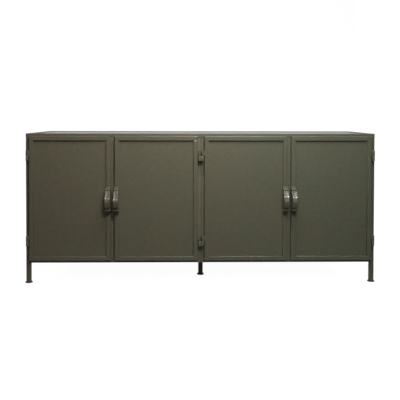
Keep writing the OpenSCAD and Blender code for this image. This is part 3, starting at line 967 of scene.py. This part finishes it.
# %% Lower halves of the hinges
WEB_INSIDE = 4.6 * mm
BRIDGE_OVERLAP = 1.2 * mm
BLOCK_REACH = 5.4 * mm
BLOCK_TOP = 2.2 * mm
TACK_PLACE = (0.4 * mm, -5.3 * mm, -6.0 * mm)
TACK_SIZE = (3.4 * mm, 2.6 * mm)
TACK_REACH = 0.9 * mm
# Painted highlight on the tacks, for the lower pair and the upper pair.
TACK_HIGHLIGHT = (0.15, 0.4)


def post_half(x, z, bottom, mouth):
    """A lower barrel, its web to the post, and a bead in each corner between web and post."""
    pieces = [lower_barrel(x, z)]
    pieces.append(soft_block((x - WEB / 2, HINGE_Y + WEB_INSIDE, bottom), (x + WEB / 2, FRONT, mouth)))
    for s in (-1, 1):
        edge, y = x + s * WEB / 2, FRONT - 0.4 * mm
        pieces.append(bead((edge, y, bottom + 1 * mm), (edge, y, mouth - 1 * mm)))
    return pieces


lower, tacks = [], []
for z in HINGE_Z:
    bottom, mouth = z - HINGE_HEIGHT / 2 + FOOT_LIFT, z - HINGE_GAP / 2
    for x, _, _ in PINS:
        lower += post_half(x, z, bottom, mouth)
    flat = PINS[2][0]
    reach = flat - BARREL + BRIDGE_OVERLAP
    lower.append(soft_block((-reach, HINGE_Y - WEB / 2, bottom), (reach, HINGE_Y + WEB / 2, mouth)))
    block_low = (-flat, HINGE_Y - BLOCK_REACH, bottom + 0.2 * mm)
    lower.append(soft_block(block_low, (flat, HINGE_Y, mouth - BLOCK_TOP)))
    x, y, down = TACK_PLACE
    tacks.append(dab((x, HINGE_Y + y, mouth + down), TACK_SIZE, TACK_REACH))
halves = mesh_object("hinge_lower_halves", joined(lower))
# The darker coat of the rails is painted shade on the lower halves.
place(halves, "cabinet", "olive_paint", "hinge_frame_knuckles", finish=rail_paint_with_painted_shade)
# Painted highlight on each tack.
tack_highlight = np.repeat(TACK_HIGHLIGHT, len(tacks[0][0]))
tack = worn_and_highlit_piece("hinge_tack_welds", joined(tacks), tack_highlight)
place(tack, "cabinet", "olive_paint", finish=handle_paint["pale"])
print("solids in the lower halves:", len(lower))

# %% [markdown]
# ## Upper halves
# The upper halves swing with the doors, so each door's two are one piece that rides on that door. A flat
# cheek joins barrel and door, with a bead in the corner at its front and one at its back.

# %% Upper halves of the hinges
CHEEK_FRONT = 5.2 * mm
CHEEK_INSIDE = 3.4 * mm
CHEEK_DEPTH = 8.5 * mm
CHEEK_BEAD, CHEEK_BEAD_OUT = 1.2 * mm, 0.2 * mm

for door, pin, side in zip(DOORS, PINS, DOOR_SIDE):
    low, high = corners(door + "_frame")
    edge = high[0] if side > 0 else low[0]
    cheek_back = low[1] + CHEEK_DEPTH
    upper = []
    for z in HINGE_Z:
        bottom = z + WASHER_GAP
        top = bottom + HALF_HEIGHT - 1 * mm
        near, far = (edge, HINGE_Y - CHEEK_FRONT, bottom), (pin[0] - side * CHEEK_INSIDE, cheek_back, top)
        upper += [upper_barrel(pin[0], z), soft_block(near, far)]
        for y in (low[1] - CHEEK_BEAD_OUT, cheek_back):
            upper.append(bead((edge, y, bottom + 1 * mm), (edge, y, top - 1 * mm), CHEEK_BEAD))
    piece = mesh_object(door + "_hinge_upper_halves", joined(upper))
    place(piece, door, "olive_paint", door + "_hinge_knuckles")
print("hinges:", len(HINGE_Z) * len(PINS))

# %% [markdown]
# ## The line of a bow handle
# A handle is a cast strap, 22 mm wide, bent into a bow between two solid feet. Its upper half is a flat
# slope that breaks over a crest, and its lower half curves back to the door. A notch marks each foot. A
# strap of even thickness could be a curve with a bevel, but this one swells into its feet, so the bow is
# two lines drawn side by side, one for the outer face and one for the inner.

# %% Lines of the bow
LINE_STEP = 0.8
FACE_RUN_IN = 2.0


def bow_lines(crest):
    """The outer and inner line of the bow, from the upper foot to the lower one, as rows (outer height, outer
    reach, inner height, inner reach) from the handle's middle and the door's face. The design points are in
    millimetres. Lines between them are straight, then a running mean over five samples rounds the corners.
    Also gives a share for each row, 1 on the strap's face and 0 on the feet."""
    drop = 47.4 - 0.014 * crest ** 2
    upper_foot = [
        (60, 0, 45, 0), (58, 6.9, 45, 4), (55, 13.9, 45, 8), (52, 19.2, 45, 11.5), (49.2, 23.0, 45, 14.2),
        (48.2, 23.9, 44.9, 15.6), (47.6, 22.4, 44.7, 16.6), (43.2, 22.2, 43.6, 18.4),
    ]
    strap = [
        (42.6, 29.6, 41.8, 21.4), (41.6, 30.8, 39.2, 25.4), (crest + 1, drop - 0.5, crest - 1.2, drop - 5.2),
        (crest - 0.5, drop, crest - 2.4, drop - 5.2), (-2, 48, -2, 43), (-10, 47.1, -8.6, 42.2),
        (-19, 44.6, -16.6, 40.1), (-26, 41.8, -23, 37.0), (-29.5, 39.0, -26.5, 34.6), (-33, 34.6, -30, 31.0),
    ]
    lower_foot = [
        (-35.4, 30.2, -33.5, 27.4), (-36.4, 27.8, -36.6, 23.6), (-45.4, 27.6, -43.6, 17.6),
        (-47.2, 25.8, -44.8, 14.6), (-50, 22.2, -45, 12.5), (-52, 19.2, -45, 10.8), (-55, 13.9, -45, 7.4),
        (-58, 6.9, -45, 3.6), (-60, 0, -45, 0),
    ]
    design = np.array(upper_foot + strap + lower_foot, float)
    gap = np.hypot(*np.diff(design[:, :2], axis=0).T)
    way = np.concatenate([[0], np.cumsum(gap)])
    samples = np.unique(np.concatenate([way, np.arange(0, way[-1], LINE_STEP)]))
    lines = np.stack([np.interp(samples, way, column) for column in design.T], -1)
    padded = np.concatenate([lines[:1], lines[:1], lines, lines[-1:], lines[-1:]])
    lines[1:-1] = np.mean([padded[k:k + len(lines)] for k in range(5)], axis=0)[1:-1]
    face_start, face_end = way[len(upper_foot) + 1], way[len(upper_foot) + len(strap) - 2]
    face = np.clip(np.minimum(samples - face_start, face_end - samples) / FACE_RUN_IN, 0, 1)
    return lines * mm, face


lines, face = bow_lines(10)
print(len(lines), "rings along the bow, reach", round(float(lines[:, 1].max()) / mm, 2), "mm")

# %% [markdown]
# ## Bow handles
# Along the two lines goes an outline, one ring at each sample, from the inner line to the outer. A shallow
# channel runs down the strap's face between two ridges. Hands polish the paint off just above the crest,
# most of all on the ridges, and that worn band also holds a painted highlight. A faint band of painted light
# crosses the front of the lower foot, where the strap shades it. That is not a texture but a number at each
# point, the attribute rub, which the paint reads. No two handles were bent quite alike, so
# each has its own crest.

# %% Shape of a handle
HANDLE_EDGE = 1.2 * mm
CHANNEL = np.array([6.4, 5.6, 4.6, 3.8, 0, -3.8, -4.6, -5.6, -6.4]) * mm
CHANNEL_DEPTH = np.array([0, 0.08, 0.9, 1, 1, 1, 0.9, 0.08, 0]) * 0.9 * mm
CHANNEL_MARK = 0.62
# Painted light across the front of the lower foot, which the strap shades.
FOOT_PAINTED_LIGHT = 0.35


def soft_band(level, centre, half):
    """1 in the middle of a band and 0 beyond it: 1.5 * (1 - ((level - centre) / half) ** 2), held to 0 and
    to 1."""
    return np.clip(1.5 - ((level - centre) / half) ** 2 * 1.5, 0, 1)


def handle_shape(low, high, crest):
    """Each ring is an outline between the bow's inner and outer point, as wide as the box, with the channel
    pressed into its outer side along the strap. Returns the solid, and its rub attribute: a band
    above the crest, worn paint and a painted highlight, fainter in the channel, and a faint band of painted
    light across the front of the lower foot."""
    lines, face = bow_lines(crest)
    outer, inner = lines[:, :2], lines[:, 2:]
    thick = np.linalg.norm(outer - inner, axis=1)
    ray = (outer - inner) / thick[:, None]
    ring = outline(np.full_like(thick, high[0] - low[0]), thick, HANDLE_EDGE)
    channel_u = np.broadcast_to(CHANNEL, (len(thick), len(CHANNEL)))
    channel = np.stack([channel_u, thick[:, None] / 2 - face[:, None] * CHANNEL_DEPTH], -1)
    first_corner = ring.shape[1] // 4
    ring = np.concatenate([ring[:, :first_corner], channel, ring[:, first_corner:]], 1)
    up = ring[..., 1] + thick[:, None] / 2
    height_reach = inner[:, None, :] + ray[:, None, :] * up[..., None]
    middle = (low + high) / 2
    x = middle[0] + ring[..., 0]
    y = high[1] - height_reach[..., 1]
    z = middle[2] + height_reach[..., 0]
    level = height_reach[..., 0] / mm
    in_channel = np.where(np.abs(ring[..., 0]) > 5 * mm, 1.0, CHANNEL_MARK)
    outside = np.clip((up - thick[:, None] * 0.7) / (1 * mm), 0, 1)
    # A band of worn paint with a painted highlight above the crest, and painted light on the lower foot.
    rub = soft_band(level, crest + 4.2, 3.6) * in_channel + soft_band(level, -41, 5) * FOOT_PAINTED_LIGHT
    return closed_rings(np.stack([x, y, z], -1)), (rub * outside).ravel()


# %% [markdown]
# ## The four handles
# The handles of a pair differ in the height of their crest, and the two pairs in the tone of their worn
# metal, which also holds a painted highlight.

# %% Handles
HANDLES = {
    "door_1": ("warm", 9.5),
    "door_2": ("warm", 5.5),
    "door_3": ("pale", 16.5),
    "door_4": ("pale", 13.2),
}
for door, (tint, crest) in HANDLES.items():
    node = door + "_handle"
    shape, rub = handle_shape(*corners(node), crest)
    piece = worn_and_highlit_piece(node + "_bow", shape, rub, crease=32)
    place(piece, door, "olive_paint", node, finish=handle_paint[tint])
print("handle", len(shape[0]), "points, most rubbed", round(float(rub.max()), 2))

# %% [markdown]
# ## Feet
# Under each leg is a turned steel disc with an eased lower edge, a sloping rim and a low collar, welded to
# the tube by a short bead along each of its four sides.

# %% Feet
DISC = ((15.9, 0), (16.75, 0.35), (16.95, 0.8), (16.95, 2.1), (16.65, 2.6), (14.9, 4.3), (14.5, 4.5))
FOOT_TOP = DISC[-1][1] * mm
FOOT_BEAD = 1.4 * mm

leg_low, leg_high = corners("centre_leg")
LEGS = [(s * rim_x, y, TUBE) for s in (-1, 1) for y in (rim_front, rim_rear)]
LEGS.append(((leg_low[0] + leg_high[0]) / 2, (leg_low[1] + leg_high[1]) / 2, leg_high[0] - leg_low[0]))
feet = [turned(np.array(DISC) * mm, (x, y, 0), 48) for x, y, _ in LEGS]
for x, y, leg in LEGS:
    near = leg / 2 - TUBE_CORNER
    for s in (-1, 1):
        side_x, side_y = x + s * leg / 2, y + s * leg / 2
        feet.append(bead((x - near, side_y, FOOT_TOP), (x + near, side_y, FOOT_TOP), FOOT_BEAD))
        feet.append(bead((side_x, y - near, FOOT_TOP), (side_x, y + near, FOOT_TOP), FOOT_BEAD))
place(mesh_object("foot_discs", joined(feet)), "cabinet", "dark_olive_paint", "feet")
print("feet:", len(LEGS))

# %% [markdown]
# ## White paper
# A sheet of white paper lies under the cabinet and curves up behind it. A floor and a wall would show the
# corner between them, and a curve doesn't. The camera sees the paper as pure white, by the paper's own glow
# for the rays that see it. Anything glossy sees it too, but the floor only dimly. For light that bounces it
# is plain and matt, so the cabinet isn't lit by its own background, and the feet keep their shadows.

# %% Paper
PAPER_GLOW = 0.97
FLOOR_SEEN = 0.25
PAPER_LEFT, PAPER_RIGHT = -1.87, 2.0
PAPER_FRONT, PAPER_BACK = -0.7, 4.0
PAPER_TOP, PAPER_BEND = 4.0, 0.8


def seen_rays(tree):
    """1 for the rays that come straight from the camera, and 1 for those by reflection or through glass."""
    rays = tree.nodes.new("ShaderNodeLightPath").outputs
    glossy = combined(tree, "MAXIMUM", rays["Is Glossy Ray"], rays["Is Transmission Ray"])
    return rays["Is Camera Ray"], glossy


def paper_material():
    """Matt grey paper with a glow: PAPER_GLOW for the camera, and for glossy rays a share of it that rises
    from FLOOR_SEEN at the floor to 1 at the height of the bend."""
    material, tree, shader = new_material("white_paper")
    feed(tree, shader["Base Color"], (0.12, 0.12, 0.12))
    feed(tree, shader["Roughness"], 0.9)
    feed(tree, shader["Specular IOR Level"], 0)
    feed(tree, shader["Emission Color"], (1.0, 1.0, 1.0))
    by_camera, by_gloss = seen_rays(tree)
    share = spread(tree, part_of(tree, object_place(tree), "Z"), 0.0, PAPER_BEND, FLOOR_SEEN, 1)
    seen = combined(tree, "MAXIMUM", by_camera, combined(tree, "MULTIPLY", by_gloss, share))
    feed(tree, shader["Emission Strength"], combined(tree, "MULTIPLY", seen, PAPER_GLOW))
    return material


def paper_mesh():
    """The paper: flat from the front to the bend, a quarter circle up, then a wall, the same all across."""
    turn = np.linspace(0, math.pi / 2, 17)
    y = np.concatenate([[PAPER_FRONT], PAPER_BACK - PAPER_BEND + PAPER_BEND * np.sin(turn), [PAPER_BACK]])
    z = np.concatenate([[0], PAPER_BEND * (1 - np.cos(turn)), [PAPER_TOP]])
    x = np.array([PAPER_LEFT, PAPER_RIGHT])
    points = np.stack(np.broadcast_arrays(x[None, :], y[:, None], z[:, None]), -1).reshape(-1, 3)
    mesh = bpy.data.meshes.new("paper")
    mesh.from_pydata(points.tolist(), [], grid_faces(len(y), 2).tolist())
    mesh.shade_smooth()
    mesh.materials.append(paper_material())
    return mesh


paper = bpy.data.objects.new("paper", paper_mesh())
bpy.context.scene.collection.objects.link(paper)
print("paper", PAPER_RIGHT - PAPER_LEFT, "m wide")

# %% [markdown]
# ## Lamps
# Steel looks like steel by what it mirrors, so the lamps are large and soft. Three hang over the front: a
# broad key well before the cabinet gives most of the light, a small spot behind a grid brightens the upper
# middle, and a strip close above the front draws the fine bright lines along the upper edges. Two more
# stand behind, so that the back isn't black when the cabinet is seen from there.

# %% Soft boxes


def soft_box(name, where, towards, size, power, beam=180, colour=(1, 1, 1)):
    """A rectangular area light at a place, facing a point. A beam under 180 degrees is a grid before it."""
    light = bpy.data.lights.new(name, "AREA")
    light.shape = "RECTANGLE"
    light.size, light.size_y = size
    light.energy = power
    light.spread = math.radians(beam)
    light.color = colour
    lamp = bpy.data.objects.new(name, light)
    bpy.context.scene.collection.objects.link(lamp)
    away = np.array(where, float) - np.array(towards, float)
    away /= np.linalg.norm(away)
    across = np.cross((0.0, 0.0, 1.0), away)
    across /= np.linalg.norm(across)
    up = np.cross(away, across)
    lamp.location = where
    lamp.rotation_euler = Matrix(np.stack([across, up, away], 1).tolist()).to_euler()
    return lamp


key = soft_box("key", (0.30, FRONT - 2.90, TOP + 1.25), (0.0, FRONT, 0.50), (2.4, 1.8), 27)
spot = soft_box("spot", (0.28, FRONT - 1.60, TOP + 1.35), (0.05, FRONT, 1.12), (0.6, 0.4), 13.5, beam=90)
strip = soft_box("strip", (0.16, FRONT - 0.45, TOP + 0.90), (0.1, FRONT, 0.45), (0.8, 0.3), 13,
                 colour=(0.95, 0.98, 1.05))
for side in (-1, 1):
    soft_box("rear", (side * 3.0, REAR + 1.4, TOP + 1.3), (0.0, REAR, 0.30), (1.6, 1.6), 80)
print("lamps at the front:", key.name, spot.name, strip.name)

# %% [markdown]
# ## Room
# Past the paper the room is dim, which is why the front stays dark and only the top mirrors white. The
# world is that room: nearly black for light that bounces, a little brighter in a mirror, and white for the
# camera.

# %% Room
ROOM = 0.03
ROOM_SEEN = 0.15

world = bpy.data.worlds.new("room")
world.use_nodes = True
bpy.context.scene.world = world
room = world.node_tree
sky = room.nodes["Background"].inputs
by_camera, by_gloss = seen_rays(room)
mirrored = combined(room, "MULTIPLY", by_gloss, ROOM_SEEN - ROOM)
feed(room, sky["Color"], (1.0, 1.0, 1.0))
feed(room, sky["Strength"], combined(room, "ADD", combined(room, "MAXIMUM", by_camera, mirrored), ROOM))
bpy.context.scene.view_settings.view_transform = "Standard"
print("room", ROOM, "and", ROOM_SEEN, "in a mirror")
